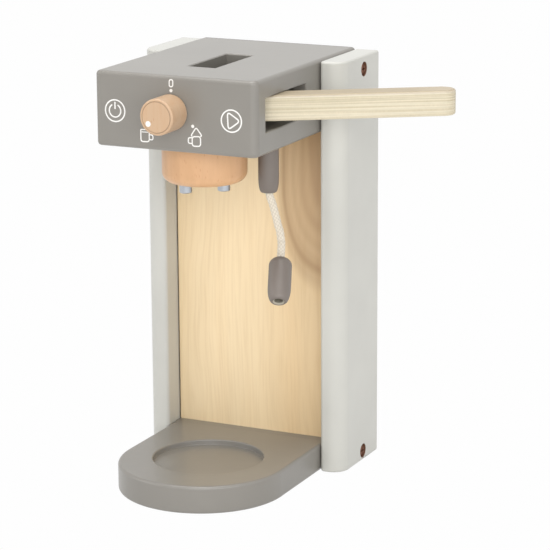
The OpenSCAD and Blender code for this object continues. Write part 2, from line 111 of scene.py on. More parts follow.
class MakerTurnings(bpy.types.PropertyGroup):
    """Sizes of the turned pieces and the lever"""

    lever_arris: length("Lever arris", "Rounding of the lever's edges", 1.7 * MM)
    lever_turn: angle("Lever turn", "Angle of the lever at rest", 33)
    lever_plies: IntProperty(name="Plies", description="Number of plies in the lever",
                             default=11, min=3, max=21)
    dot_radius: length("Dot radius", "Radius of the knob's white dot", 1.75 * MM)
    dot_reach: length("Dot reach", "Distance of the dot from the knob's axis", 7.0 * MM)
    dot_angle: angle("Dot angle", "Where the knob points at rest", 218)
    cord_radius: length("Cord radius", "Radius of the braided cord", 2.5 * MM)
    cord_strands: IntProperty(name="Strands", description="Strands that run each way",
                              default=6, min=3, max=12)
    cord_pitch: length("Braid pitch", "Length of one turn of a strand", 16 * MM)
    wand_shoulder: length("Wand shoulder", "Rounding of the wand's upper end", 5 * MM)
    wand_drop: length("Wand drop", "How far the cord runs into the wand", 2.2 * MM)
    wand_mouth: length("Wand mouth", "Radius of the hole in the wand's tip", 2.75 * MM)


class MakerColours(bpy.types.PropertyGroup):
    """Colours of the finishes"""

    taupe: colour("Taupe", "Paint of the head and the base", (0.227, 0.213, 0.190))
    pale: colour("Pale", "Paint of the posts", (0.548, 0.542, 0.500))
    wand: colour("Wand", "Paint of the milk wand", (0.178, 0.150, 0.130))
    # Painted highlight: a lighter colour on the chamfered rim of the wand's mouth, where it catches
    # the light.
    bare: colour("Bare rim", "Bare edge round the wand's mouth", (0.37, 0.34, 0.27))
    print_white: colour("Print", "Printed marks", (0.80, 0.785, 0.755))
    panel_light: colour("Panel light", "Pale wood of the panel", (0.875, 0.695, 0.440))
    panel_dark: colour("Panel dark", "Grain lines of the panel", (0.80, 0.59, 0.335))
    # Partly the brown figure near the knot and partly painted shade under the head, at the panel's
    # top right.
    panel_knot_and_shade: colour("Panel knot", "Brown figure near the knot", (0.43, 0.27, 0.135))
    beech_light: colour("Beech light", "Pale wood of the spout block", (0.655, 0.385, 0.200))
    beech_dark: colour("Beech dark", "Flecks of the turned pieces", (0.50, 0.27, 0.13))
    # Partly the knob's own wood and partly painted shade: a darker copy of the spout's beech for
    # the front face, which the lamps light most.
    knob: colour("Knob", "Pale wood of the knob", (0.535, 0.365, 0.230))
    ply_face: colour("Ply light", "Pale plies and faces of the lever", (0.645, 0.58, 0.432))
    ply_end: colour("Ply dark", "Plies of the lever cut across", (0.575, 0.50, 0.358))
    cord: colour("Cord", "Cotton of the braided cord", (0.82, 0.75, 0.635))
    nozzle: colour("Nozzle", "Metal of the nozzles", (0.50, 0.53, 0.57))
    bronze: colour("Bronze", "Screws in the posts", (0.19, 0.068, 0.032))
    board: colour("Bare board", "Bare board inside the screw holes", (0.155, 0.066, 0.036))


# ---------------------------------------------------------------- modelling helpers

def only(piece):
    """Selects one piece and nothing else."""
    if bpy.context.object and bpy.context.object.mode != "OBJECT":
        bpy.ops.object.mode_set(mode="OBJECT")
    bpy.ops.object.select_all(action="DESELECT")
    piece.select_set(True)
    bpy.context.view_layer.objects.active = piece
    return piece


def edit_all(piece):
    """Goes into edit mode with the whole mesh selected."""
    only(piece)
    bpy.ops.object.mode_set(mode="EDIT")
    bpy.ops.mesh.select_all(action="SELECT")


def add_object(name, data):
    """A new object in the scene."""
    made = bpy.data.objects.new(name, data)
    bpy.context.scene.collection.objects.link(made)
    return made


def from_bmesh(name, mesh):
    """A new piece from a mesh that was built point by point."""
    data = bpy.data.meshes.new(name)
    mesh.to_mesh(data)
    mesh.free()
    return add_object(name, data)


def apply_step(piece, kind, **settings):
    """Adds a modifier to a piece, sets it and applies it."""
    step = piece.modifiers.new(kind.lower(), kind)
    for key, value in settings.items():
        setattr(step, key, value)
    only(piece)
    bpy.ops.object.modifier_apply(modifier=step.name)
    return piece


def settle(name):
    """Names the new primitive and puts its place into its mesh."""
    piece = bpy.context.object
    piece.name = name
    piece.data.name = name
    only(piece)
    bpy.ops.object.transform_apply(location=True, rotation=True, scale=True)
    return piece


def block(name, low, high):
    """A box between two corners."""
    bpy.ops.object.select_all(action="DESELECT")
    low, high = Vector(low), Vector(high)
    bpy.ops.mesh.primitive_cube_add(size=1, location=(low + high) / 2, scale=high - low)
    return settle(name)


def rod(name, centre, radius, depth, turn=(0, 0, 0), sides=64):
    """A cylinder round a centre."""
    bpy.ops.object.select_all(action="DESELECT")
    bpy.ops.mesh.primitive_cylinder_add(vertices=sides, radius=radius, depth=depth,
                                        location=centre, rotation=turn)
    return settle(name)


def pick(piece, kind, test):
    """In edit mode, selects the edges or faces that pass a test."""
    only(piece)
    bpy.ops.object.mode_set(mode="EDIT")
    bpy.ops.mesh.select_mode(type="EDGE" if kind == "edges" else "FACE")
    bpy.ops.mesh.select_all(action="DESELECT")
    mesh = bmesh.from_edit_mesh(piece.data)
    for part in getattr(mesh, kind):
        part.select_set(bool(test(part)))
    mesh.select_flush_mode()
    bmesh.update_edit_mesh(piece.data)


def leave():
    """Back to object mode."""
    bpy.ops.object.mode_set(mode="OBJECT")


def ends(edge):
    """The two ends of an edge."""
    return edge.verts[0].co, edge.verts[1].co


def upright(edge):
    """True for an edge that runs along Z."""
    a, b = ends(edge)
    return abs(a.x - b.x) + abs(a.y - b.y) < 1e-6


def round_edges(piece, width, segments, test):
    """Rounds the edges that pass a test."""
    pick(piece, "edges", test)
    bpy.ops.mesh.bevel(offset=width, segments=segments, affect="EDGES", profile=0.5)
    leave()


def round_rims(piece, low, high, width, segments):
    """Rounds the edges round a piece's top and bottom."""
    round_edges(piece, width, segments,
                lambda e: all(p.z > high.z - NEAR for p in ends(e))
                or all(p.z < low.z + NEAR for p in ends(e)))


def round_front(piece, low, x, width, segments):
    """Rounds a piece's upright front edge at x."""
    round_edges(piece, width, segments,
                lambda e: upright(e) and e.verts[0].co.y < low.y + NEAR
                and abs(e.verts[0].co.x - x) < NEAR)


def round_back(piece, high, width):
    """Rounds a piece's two upright back edges."""
    round_edges(piece, width, 3, lambda e: upright(e) and e.verts[0].co.y > high.y - NEAR)


def cut_out(piece, cutter):
    """Takes one solid out of another."""
    apply_step(piece, "BOOLEAN", operation="DIFFERENCE", solver="EXACT", object=cutter)
    bpy.data.objects.remove(cutter)


def smooth(piece, degrees=35):
    """Smooth shading up to an angle, with flat faces kept flat."""
    only(piece)
    bpy.ops.object.shade_smooth_by_angle(angle=math.radians(degrees))
    return apply_step(piece, "WEIGHTED_NORMAL", keep_sharp=True)


def lathe(name, profile, sides=64):
    """Spins a profile of (radius, height) points round Z. It starts and ends on the axis."""
    mesh = bpy.data.meshes.new(name)
    piece = add_object(name, mesh)
    points = [(r, 0, z) for r, z in profile]
    mesh.from_pydata(points, [(i, i + 1) for i in range(len(points) - 1)], [])
    edit_all(piece)
    bpy.ops.mesh.spin(steps=sides, angle=math.tau, center=(0, 0, 0), axis=(0, 0, 1))
    bpy.ops.mesh.select_all(action="SELECT")
    bpy.ops.mesh.remove_doubles(threshold=1e-6)
    bpy.ops.mesh.select_all(action="SELECT")
    bpy.ops.mesh.normals_make_consistent(inside=False)
    leave()
    return piece


def place(piece, matrix):
    """Moves a piece's mesh, and leaves its object at the origin."""
    piece.matrix_world = matrix
    only(piece)
    bpy.ops.object.transform_apply(location=True, rotation=True, scale=True)
    return piece


def turned(name, profile, where, degrees=40, sides=64):
    """A turned piece, put in its place and smoothed."""
    return smooth(place(lathe(name, profile, sides), where), degrees)


def over(low, high, z):
    """A move to height z over the middle of a box."""
    return Matrix.Translation(((low.x + high.x) / 2, (low.y + high.y) / 2, z))


def arc(centre_r, centre_z, radius_r, radius_z, start, stop, steps=8):
    """Points of an elliptical arc of a profile, angles in degrees from outwards to up."""
    points = []
    for i in range(steps + 1):
        a = math.radians(start + (stop - start) * i / steps)
        points.append((centre_r + radius_r * math.cos(a), centre_z + radius_z * math.sin(a)))
    return points


def dress(piece, material, body, slot, *nodes):
    """Gives a piece its material, its body and the nodes that it stands for. The slot is not used.
    """
    piece.data.materials.clear()
    piece.data.materials.append(material)
    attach(piece, body)
    if nodes:
        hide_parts(*nodes)
    return piece


# ---------------------------------------------------------------- material helpers

def add_node(tree, kind, inputs=None, **settings):
    """A new node with its settings and its inputs' plain values."""
    made = tree.nodes.new(kind)
    for key, value in settings.items():
        setattr(made, key, value)
    for key, value in (inputs or {}).items():
        made.inputs[key].default_value = value
    return made


class Shader:
    """A material that is built node by node on Object coordinates."""

    def __init__(self, name):
        self.material = bpy.data.materials.get(name) or bpy.data.materials.new(name)
        self.material.use_nodes = True
        self.tree = self.material.node_tree
        self.tree.nodes.clear()
        self.out = self.node("ShaderNodeOutputMaterial")
        self.skin = self.node("ShaderNodeBsdfPrincipled")
        self.link(self.skin, "BSDF", self.out, "Surface")
        self.place = self.node("ShaderNodeTexCoord")

    def node(self, kind, inputs=None, **settings):
        return add_node(self.tree, kind, inputs, **settings)

    def link(self, a, out, b, socket):
        self.tree.links.new(a.outputs[out], b.inputs[socket])

    def feed(self, value, socket):
        """Feeds a socket from a node, or with a plain number or colour."""
        if hasattr(value, "outputs"):
            out = 2 if value.bl_idname == "ShaderNodeMix" else 0
            self.tree.links.new(value.outputs[out], socket)
        else:
            socket.default_value = (*value, 1) if hasattr(value, "__len__") else value

    def mapping(self, scale, turn=(0, 0, 0), shift=(0, 0, 0), source=None, out="Object"):
        made = self.node("ShaderNodeMapping",
                         {"Scale": scale, "Rotation": turn, "Location": shift})
        self.link(source or self.place, out, made, "Vector")
        return made

    def noise(self, vector, scale, detail=3.0, rough=0.55, distort=0.0):
        made = self.node("ShaderNodeTexNoise", {"Scale": scale, "Detail": detail,
                                                "Roughness": rough, "Distortion": distort})
        self.link(vector, "Vector", made, "Vector")
        return made

    def ramp(self, source, out, stops, smooth_steps=False):
        """A colour ramp of (place, colour) stops."""
        made = self.node("ShaderNodeValToRGB")
        if smooth_steps:
            made.color_ramp.interpolation = "EASE"
        marks = made.color_ramp.elements
        while len(marks) < len(stops):
            marks.new(0.5)
        for mark, (where, shade) in zip(marks, stops):
            mark.position = where
            mark.color = (*shade, 1)
        self.link(source, out, made, "Fac")
        return made

    def tone(self, source, shade, low, high=1.0, start=0.3, stop=0.7, smooth_steps=False):
        """A shade that runs from a darker to a lighter share of itself over a pattern."""
        return self.ramp(source, "Fac", [(start, darker(shade, low)),
                                         (stop, darker(shade, high))], smooth_steps)

    def blend(self, a, b, share=1.0, kind="MIX"):
        """Mixes two colours by a share, each a node or a plain value."""
        made = self.node("ShaderNodeMix", data_type="RGBA", blend_type=kind)
        for socket, value in ((0, share), (6, a), (7, b)):
            self.feed(value, made.inputs[socket])
        return made

    def maths(self, operation, *values):
        made = self.node("ShaderNodeMath", operation=operation)
        for socket, value in zip(made.inputs, values):
            self.feed(value, socket)
        return made

    def bump(self, height, distance, strength=1.0, under=None):
        made = self.node("ShaderNodeBump", {"Distance": distance, "Strength": strength})
        self.link(height, "Fac", made, "Height")
        if under:
            self.link(under, "Normal", made, "Normal")
        return made

    def finish(self, colour_node, normal, rough, metal=0.0, coat=0.0, sheen=0.0, specular=0.5):
        """Ends the material. Its gloss is a plain number all over the surface."""
        coat_rough = 0.3 if coat else 0.2
        plain = {"Roughness": rough, "Metallic": metal, "Coat Weight": coat,
                 "Coat Roughness": coat_rough, "Sheen Weight": sheen,
                 "Specular IOR Level": specular}
        for key, value in plain.items():
            self.skin.inputs[key].default_value = value
        self.feed(colour_node, self.skin.inputs["Base Color"])
        self.link(normal, "Normal", self.skin, "Normal")
        return self.material


def darker(shade, share):
    """A colour times a share."""
    return tuple(c * share for c in shade)


def paint(name, shade, gloss=0.30):
    """Sprayed satin paint on board: faint clouds and fine orange peel."""
    s = Shader(name)
    plain = s.mapping((1, 1, 1), shift=(0.313, 0.217, 0.131))
    clouds = s.noise(plain, 22, detail=2)
    toned = s.tone(clouds, shade, 0.965, 1.03)
    peel = s.noise(plain, 900, detail=2, rough=0.4)
    broad = s.noise(plain, 120, detail=2, rough=0.5)
    low = s.bump(broad, 0.00012, 0.35)
    top = s.bump(peel, 0.00004, 0.35, under=low)
    return s.finish(toned, rough=gloss, normal=top, specular=0.62)


def panel_wood(name, light, dark, knot_and_shade, spot):
    """Pale veneer: soft upright grain that bends round a brown figure near a knot. The brown zone
    is partly that figure and partly painted shade under the head, and the veneer darkens towards
    the right as painted shade from the right post.
    """
    s = Shader(name)
    sway = s.noise(s.mapping((1, 1, 0.30)), 16, detail=2, distort=0.4)
    bent = s.node("ShaderNodeVectorMath", {1: (0.027, 0.0, 0.0)}, operation="MULTIPLY_ADD")
    s.link(sway, "Color", bent, 0)
    s.link(s.place, "Object", bent, 2)

    def along(tall):
        return s.mapping((1, 1, tall), source=bent, out="Vector")

    broad = s.tone(s.noise(along(0.25), 26, detail=1), light, 0.95, 1.035, smooth_steps=True)
    streaks = s.ramp(s.noise(along(0.06), 110, detail=3, rough=0.6), "Fac",
                     [(0.34, dark), (0.60, light)])
    toned = s.blend(broad, streaks, 0.26)
    fine = s.noise(along(0.035), 560, detail=3, rough=0.6)
    lines = s.ramp(fine, "Fac", [(0.36, (0.88, 0.84, 0.78)), (0.56, (1, 1, 1))])
    toned = s.blend(toned, lines, 0.45, "MULTIPLY")
    # Painted shade: the veneer darkens towards the right, where the right post shades it.
    across = s.node("ShaderNodeSeparateXYZ")
    s.link(bent, "Vector", across, "Vector")
    side = s.maths("MULTIPLY_ADD", across, 8.0, 0.5)
    right_shade = s.ramp(side, 0, [(0.60, (1, 1, 1)), (0.88, (0.93, 0.88, 0.815))], True)
    toned = s.blend(toned, right_shade, kind="MULTIPLY")

    # A brown zone round the knot at the top right, partly the wood's figure and partly painted
    # shade from the head.
    wide, tall = 0.0442, 0.100
    near = s.mapping((1 / wide, 0, 1 / tall), shift=(-spot[0] / wide, 0, -spot[1] / tall),
                     source=bent, out="Vector")
    ball = s.node("ShaderNodeTexGradient", gradient_type="SPHERICAL")
    s.link(near, "Vector", ball, "Vector")
    rings = ((0.05, 0.0), (0.17, 0.48), (0.235, 0.88), (0.28, 0.66), (0.33, 0.55), (0.38, 0.68),
             (0.43, 0.61), (0.50, 0.80), (0.56, 0.70), (0.64, 0.90), (0.80, 0.86), (1.0, 1.0))
    figure_and_shade = s.ramp(ball, "Fac", [(where, (share,) * 3) for where, share in rings], True)
    whole = s.blend(toned, knot_and_shade, figure_and_shade)
    pores = s.bump(fine, 0.00005, 0.5)
    return s.finish(whole, rough=0.42, coat=0.15, normal=pores)


def beech_wood(name, light, dark, grain=(0, 0, 0)):
    """Clear-coated beech: fine lines along the turning axis and short dark flecks."""
    s = Shader(name)
    along = s.mapping((1, 1, 0.10), turn=grain)
    lines = s.noise(along, 260, detail=4, rough=0.6, distort=0.3)
    broad = s.noise(along, 40, detail=2)
    flecks = s.node("ShaderNodeTexVoronoi", {"Scale": 900}, feature="F1")
    s.link(s.mapping((1, 1, 0.16), turn=grain), "Vector", flecks, "Vector")
    base = s.tone(broad, light, 0.94, 1.04)
    soft = tuple(l * 0.55 + d * 0.45 for l, d in zip(light, dark))
    grain_lines = s.ramp(lines, "Fac", [(0.36, soft), (0.60, light)])
    toned = s.blend(base, grain_lines, 0.55)
    spots = s.ramp(flecks, "Distance", [(0.08, darker(dark, 1.3)), (0.20, (1, 1, 1))])
    whole = s.blend(toned, spots, 0.5, "MULTIPLY")
    fine = s.bump(lines, 0.00005, 0.5)
    return s.finish(whole, rough=0.42, coat=0.15, normal=fine)


def lever_ply(name, light, dark, low_z, thickness, plies, turn):
    """Plywood: layers that show on the edges as long and cut grain, face grain on top, and painted
    shade on the top and bottom faces.
    """
    s = Shader(name)
    along = s.mapping((0.05, 1, 1), turn=(0, 0, -turn))
    grain = s.noise(along, 300, detail=4, rough=0.6, distort=0.2)
    face = s.tone(grain, light, 0.94, start=0.32, stop=0.60)
    sideways = s.node("ShaderNodeSeparateXYZ")
    s.link(s.place, "Object", sideways, "Vector")
    wobble = s.noise(s.mapping((1, 1, 1)), 18, detail=1)
    height = s.maths("MULTIPLY_ADD", wobble, 0.0004)
    s.link(sideways, "Z", height, 2)
    layer = s.maths("MULTIPLY_ADD", height, plies / thickness, -low_z * plies / thickness)
    half = s.maths("MULTIPLY", layer, 0.5)
    odd = s.maths("FRACT", half)
    cut_grain = s.noise(s.mapping((1, 1, 0.3)), 1500, detail=2)
    cut = s.tone(cut_grain, dark, 1.0, 1.12, start=0.35, stop=0.65)
    stripes = s.ramp(odd, 0, [(0.0, (0, 0, 0)), (0.42, (0, 0, 0)), (0.52, (0.6,) * 3),
                              (0.94, (0.6,) * 3), (1.0, (0, 0, 0))])
    layers = s.blend(face, cut, stripes)
    long_tone = s.noise(s.mapping((0.005, 0.005, 1)), 1150, detail=3)
    toning = s.ramp(long_tone, "Fac", [(0.38, (0.82, 0.80, 0.74)), (0.60, (1.06, 1.07, 1.11))])
    sides = s.blend(layers, toning, kind="MULTIPLY")
    depth = s.maths("MULTIPLY", layer, 1 / plies)
    # Painted shade: the top and bottom faces darken, the top one standing for the head's shadow.
    skin = (0.79, 0.755, 0.755)
    face_shade = s.ramp(depth, 0, [(0.03, skin), (0.06, (1, 1, 1)), (0.94, (1, 1, 1)), (0.97, skin)])
    whole = s.blend(sides, face_shade, kind="MULTIPLY")
    fine = s.bump(grain, 0.00005, 0.5)
    return s.finish(whole, rough=0.5, coat=0.08, normal=fine)


def metal(name, shade, rough, metallic=1.0):
    """Metal with fine brushing round it."""
    s = Shader(name)
    brushed = s.noise(s.mapping((1, 1, 8)), 400, detail=2)
    toned = s.tone(brushed, shade, 0.92)
    fine = s.bump(brushed, 0.00002, 0.4)
    return s.finish(toned, rough=rough, metal=metallic, normal=fine)


def cotton(name, shade):
    """Braided cotton: the braid is in the mesh, and the yarn's fibres are here, with painted shade
    in the hollows between the strands.
    """
    s = Shader(name)
    yarn = s.node("ShaderNodeUVMap")
    fibres = s.noise(s.mapping((60, 900, 1), turn=(0, 0, 0.6), source=yarn, out="UV"), 1.0,
                     detail=3)
    toned = s.tone(fibres, shade, 0.84)
    hollow = s.node("ShaderNodeAttribute", attribute_name="hollow")
    # Painted shade: the yarn darkens where the strands dip between each other.
    deep = s.ramp(hollow, "Fac", [(0.0, darker((1, 0.93, 0.82), 0.62)), (0.75, (1, 1, 1))])
    whole = s.blend(toned, deep, kind="MULTIPLY")
    fine = s.bump(fibres, 0.00008, 0.6)
    return s.finish(whole, rough=0.85, normal=fine, sheen=0.25, specular=0.25)


def finishes():
    """Every finish of the machine, by name."""
    c = bpy.context.scene.maker_colours
    t = bpy.context.scene.maker_turnings
    low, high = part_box("lever")
    return {
        "taupe": paint("taupe_paint", c.taupe),
        "pale": paint("pale_paint", c.pale),
        "wand": paint("wand_paint", c.wand, gloss=0.46),
        "print": paint("print_white", c.print_white, gloss=0.5),
        "panel": panel_wood("panel_veneer", c.panel_light, c.panel_dark, c.panel_knot_and_shade,
                            (0.070, 0.206)),
        "beech": beech_wood("beech", c.beech_light, c.beech_dark),
        # The knob's beech: partly its own tone, partly painted shade on its lit front face.
        "knob": beech_wood("beech_along_y", c.knob, c.beech_dark, grain=(math.pi / 2, 0, 0)),
        # Painted shade: the knob's wood darkened for the faces of its groove.
        "groove_shade": beech_wood("beech_line", darker(c.knob, 0.62), c.beech_dark),
        "ply": lever_ply("plywood", c.ply_face, c.ply_end, low.z, high.z - low.z,
                         t.lever_plies, t.lever_turn),
        # Painted highlight on the rim of the wand's mouth.
        "bare": paint("bare_rim", c.bare, gloss=0.5),
        "board": paint("bare_board", c.board, gloss=0.7),
        # Painted shade: the rim's colour darkened inside the wand's bore.
        "bore": paint("bare_bore", darker(c.bare, 0.62), gloss=0.6),
        "zinc": metal("zinc_steel", (0.60, 0.61, 0.63), 0.30),
        "nozzle": metal("nozzle_metal", c.nozzle, 0.28),
        "bronze": metal("bronzed_steel", c.bronze, 0.45, metallic=0.7),
        "cotton": cotton("cotton_cord", c.cord),
    }


# ---------------------------------------------------------------- operators

class MAKER_OT_stage(bpy.types.Operator):
    """Camera, floor and studio light"""

    bl_idname = "maker.stage"
    bl_label = "Stage"

    azimuth: angle("Azimuth", "Turn of the camera round the machine", 25.509)
    elevation: angle("Elevation", "How far the camera looks down", 14.044)
    roll: angle("Roll", "Roll of the camera", -0.332)
    distance: length("Distance", "Distance of the camera from its target", 1.6281)
    lens: FloatProperty(name="Lens", description="Focal length in mm", default=163.03, min=1.0)
    target: FloatVectorProperty(name="Target", description="What the camera looks at",
                                default=(0.01523, 0.045, 0.12393), size=3)
    fill: FloatProperty(name="Fill light", description="Strength of the soft light all round",
                        default=0.49, min=0.0)
    white: FloatProperty(name="Background white", description="Strength of the background",
                         default=0.991, min=0.0)

    def camera(self):
        """The camera looks at the target from the front right, a little above."""
        flat = math.cos(self.elevation)
        back = Vector((math.sin(self.azimuth) * flat, -math.cos(self.azimuth) * flat,
                       math.sin(self.elevation)))
        data = bpy.data.cameras.new("camera")
        data.lens = self.lens
        data.sensor_width = 36
        data.clip_start = 0.05
        data.clip_end = 50
        camera = add_object("camera", data)
        camera.rotation_mode = "QUATERNION"
        camera.location = Vector(self.target) + back * self.distance
        facing = (-back).to_track_quat("-Z", "Y")
        camera.rotation_quaternion = facing @ Quaternion((0, 0, 1), self.roll)
        bpy.context.scene.camera = camera

    def lamp(self, name, place_at, size, power):
        """A square soft box that points at the middle of the machine."""
        data = bpy.data.lights.new(name, "AREA")
        data.shape = "SQUARE"
        data.size = size
        data.energy = power
        lamp = add_object(name, data)
        lamp.location = place_at
        lamp.rotation_mode = "QUATERNION"
        aim = Vector((0, 0, 0.14)) - Vector(place_at)
        lamp.rotation_quaternion = aim.to_track_quat("-Z", "Y")

    def white_when_seen(self, tree, plain, kind, end):
        """White where the camera, gloss or glass sees it, and the plain shader for other light."""
        path = add_node(tree, "ShaderNodeLightPath")
        seen = path.outputs["Is Camera Ray"]
        for ray in ("Is Glossy Ray", "Is Transmission Ray"):
            either = add_node(tree, "ShaderNodeMath", operation="MAXIMUM")
            tree.links.new(seen, either.inputs[0])
            tree.links.new(path.outputs[ray], either.inputs[1])
            seen = either.outputs[0]
        white = add_node(tree, kind, {"Color": (1, 1, 1, 1), "Strength": self.white})
        mix = add_node(tree, "ShaderNodeMixShader")
        for socket, source in zip(mix.inputs, (seen, plain.outputs[0], white.outputs[0])):
            tree.links.new(source, socket)
        tree.links.new(mix.outputs[0], add_node(tree, end).inputs["Surface"])

    def sky(self):
        """A plain world that gives soft fill light."""
        world = bpy.data.worlds.new("studio")
        bpy.context.scene.world = world
        world.use_nodes = True
        tree = world.node_tree
        tree.nodes.clear()
        fill = add_node(tree, "ShaderNodeBackground",
                        {"Strength": self.fill, "Color": (1, 1, 1, 1)})
        self.white_when_seen(tree, fill, "ShaderNodeBackground", "ShaderNodeOutputWorld")

    def floor(self):
        """A wide white floor that throws light back up."""
        bpy.ops.object.select_all(action="DESELECT")
        bpy.ops.mesh.primitive_plane_add(size=14, location=(0, 3, 0))
        floor = settle("studio_floor")
        material = bpy.data.materials.new("studio_floor")
        material.use_nodes = True
        tree = material.node_tree
        tree.nodes.clear()
        matt = add_node(tree, "ShaderNodeBsdfDiffuse", {"Color": (0.93, 0.93, 0.93, 1)})
        self.white_when_seen(tree, matt, "ShaderNodeEmission", "ShaderNodeOutputMaterial")
        floor.data.materials.append(material)

    def execute(self, context):
        context.scene.view_settings.view_transform = "Standard"
        self.camera()
        self.sky()
        self.floor()
        self.lamp("key_box", (1.0, -2.2, 0.9), 1.6, 23.0)
        self.lamp("right_box", (1.8, -1.1, 0.55), 0.9, 7.0)
        self.lamp("top_box", (0.0, -0.2, 1.7), 1.4, 21.0)
        self.lamp("left_box", (-1.5, -0.9, 0.8), 1.0, 5.0)
        return {"FINISHED"}


# Route of the cord, from its end in the holder to the top of the wand
CORD_MM = [(36, -7, 194.5), (36, -7, 193), (36.5, -7, 190.5), (37, -6.5, 187.5),
           (38, -6, 184.5), (39, -6, 181), (40, -6, 177.5), (41, -6, 174), (42, -6.5, 171),
           (43.5, -7, 167.5), (44.5, -8, 164.5), (45.5, -9, 161), (46.5, -11, 158.5),
           (47.2, -13, 155.2), (48, -15, 153)]


def smooth_route(points, steps):
    """Points of a smooth line through a route, several to each stretch."""
    line = []
    for i in range(len(points) - 1):
        before = points[max(i - 1, 0)]
        a, b = points[i], points[i + 1]
        after = points[min(i + 2, len(points) - 1)]
        for k in range(steps):
            t = k / steps
            line.append(0.5 * (2 * a + (b - before) * t
                               + (2 * before - 5 * a + 4 * b - after) * t * t
                               + (3 * a - before - 3 * b + after) * t * t * t))
    line.append(points[-1])
    return line


class MAKER_OT_milk_wand(bpy.types.Operator):
    """Braided cord, its holder and the wand that hangs on it"""

    bl_idname = "maker.milk_wand"
    bl_label = "Milk wand"

    sides: IntProperty(name="Sides", description="Points round the cord", default=48, min=12)
    fineness: IntProperty(name="Rings per point", description="Rings of the cord's skin to each "
                          "point of its route", default=14, min=2)
    lean: angle("Lean", "Lean of the wand from upright", 45)
    heading: angle("Heading", "Turn of the wand's lean", 21.5)
    wand_radius: length("Wand radius", "Radius of the wand", 7.25 * MM)
    wand_length: length("Wand length", "Length of the wand", 30.7 * MM)

    def strand_rise(self, strands, turn, wind):
        """Height of the braid at an angle round the cord: one strand over, the other under."""
        one = abs(math.cos(strands * (turn + wind) / 2))
        two = abs(math.cos(strands * (turn - wind) / 2))
        one_on_top = math.sin(strands * turn) * math.sin(strands * wind) > 0
        top, low = (one, two) if one_on_top else (two, one)
        return max(top ** 0.6, 0.55 * low ** 0.6)

    def braid(self, name, line, sizes):
        """A tube along a line whose skin is a braid of strands that cross over and under."""
        mesh = bmesh.new()
        uv = mesh.loops.layers.uv.new("UVMap")
        hollow = mesh.verts.layers.float.new("hollow")
        across = Vector((1, 0, 0))
        run, rings = 0.0, []
        for i, centre in enumerate(line):
            ahead = (line[min(i + 1, len(line) - 1)] - line[max(i - 1, 0)]).normalized()
            across = (across - ahead * across.dot(ahead)).normalized()
            up = ahead.cross(across)
            if i:
                run += (centre - line[i - 1]).length
            ring = []
            for k in range(self.sides):
                turn = math.tau * k / self.sides
                rise = self.strand_rise(sizes.cord_strands, turn, math.tau * run / sizes.cord_pitch)
                radius = sizes.cord_radius * (0.86 + 0.14 * rise)
                vert = mesh.verts.new(centre + radius * (math.cos(turn) * across
                                                         + math.sin(turn) * up))
                # The rise is kept on each point for the cotton's painted shade in the braid's
                # hollows.
                vert[hollow] = rise
                ring.append(vert)
            rings.append((ring, run))
        for (ring_a, run_a), (ring_b, run_b) in zip(rings, rings[1:]):
            for k in range(self.sides):
                n = (k + 1) % self.sides
                face = mesh.faces.new((ring_a[k], ring_a[n], ring_b[n], ring_b[k]))
                face.smooth = True
                spots = ((k, run_a), (k + 1, run_a), (k + 1, run_b), (k, run_b))
                for loop, (step, far) in zip(face.loops, spots):
                    loop[uv].uv = (step / self.sides, far / (math.tau * sizes.cord_radius))
        mesh.faces.new(list(reversed(rings[0][0])))
        mesh.faces.new(rings[-1][0])
        bmesh.ops.recalc_face_normals(mesh, faces=mesh.faces)
        return from_bmesh(name, mesh)

    def holder(self, sizes, skin):
        """The turned holder, with a flared mouth and a socket for the cord's end."""
        low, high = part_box("frother_holder")
        radius, tall = (high.x - low.x) / 2, high.z - low.z
        mouth = sizes.cord_radius + 1.85 * MM
        socket = sizes.cord_radius + 0.5 * MM
        flare, deep = 3 * MM, 5.8 * MM  # where the mouth ends and where the socket ends
        tip, draw_in, brim = mouth + 0.2 * MM, 9 * MM, 0.4 * MM
        profile = [(0, 0), (radius - brim, 0)]
        profile += arc(radius - brim, -brim, brim, brim, 90, 0, 3)
        profile += arc(tip, -tall + draw_in, radius - tip, draw_in, 0, -90, 12)
        profile += [(mouth, -tall), (socket, -tall + flare), (socket, -tall + deep),
                    (0, -tall + deep)]
        holder = turned("wand_holder", profile, over(low, high, high.z))
        dress(holder, skin, "stand", "wand_paint", "frother_holder")

    def wand(self, sizes, skins, where):
        """The turned wand, with a lighter rim round the hole in its tip as a painted highlight, and
        its bore a darker share of that colour as painted shade.
        """
        radius, tall = self.wand_radius, self.wand_length
        shoulder, hole = sizes.wand_shoulder, sizes.wand_mouth
        tip, draw_in, deep, rim = radius - 3 * MM, 10 * MM, 5 * MM, 0.9 * MM
        profile = [(0, 0), (radius - shoulder, 0)]
        profile += arc(radius - shoulder, -shoulder, shoulder, shoulder, 90, 0, 10)[1:]
        profile += arc(tip, -tall + draw_in, radius - tip, draw_in, 0, -90, 14)
        profile += [(hole + rim, -tall), (hole, -tall + 0.8 * MM), (hole, -tall + deep),
                    (0, -tall + deep)]
        wand = lathe("milk_wand", profile)
        dress(wand, skins["wand"], "wand", "wand_paint", "frother_wand")
        wand.data.materials.append(skins["bare"])
        wand.data.materials.append(skins["bore"])
        # The mouth's rim takes the painted highlight and the bore the painted shade.
        for face in wand.data.polygons:
            reach = math.hypot(face.center.x, face.center.y)
            if face.center.z < -tall + deep + 0.1 * MM and reach < hole + 0.8 * MM:
                face.material_index = 1 if reach > hole + 0.1 * MM else 2
        return smooth(place(wand, where), 40)

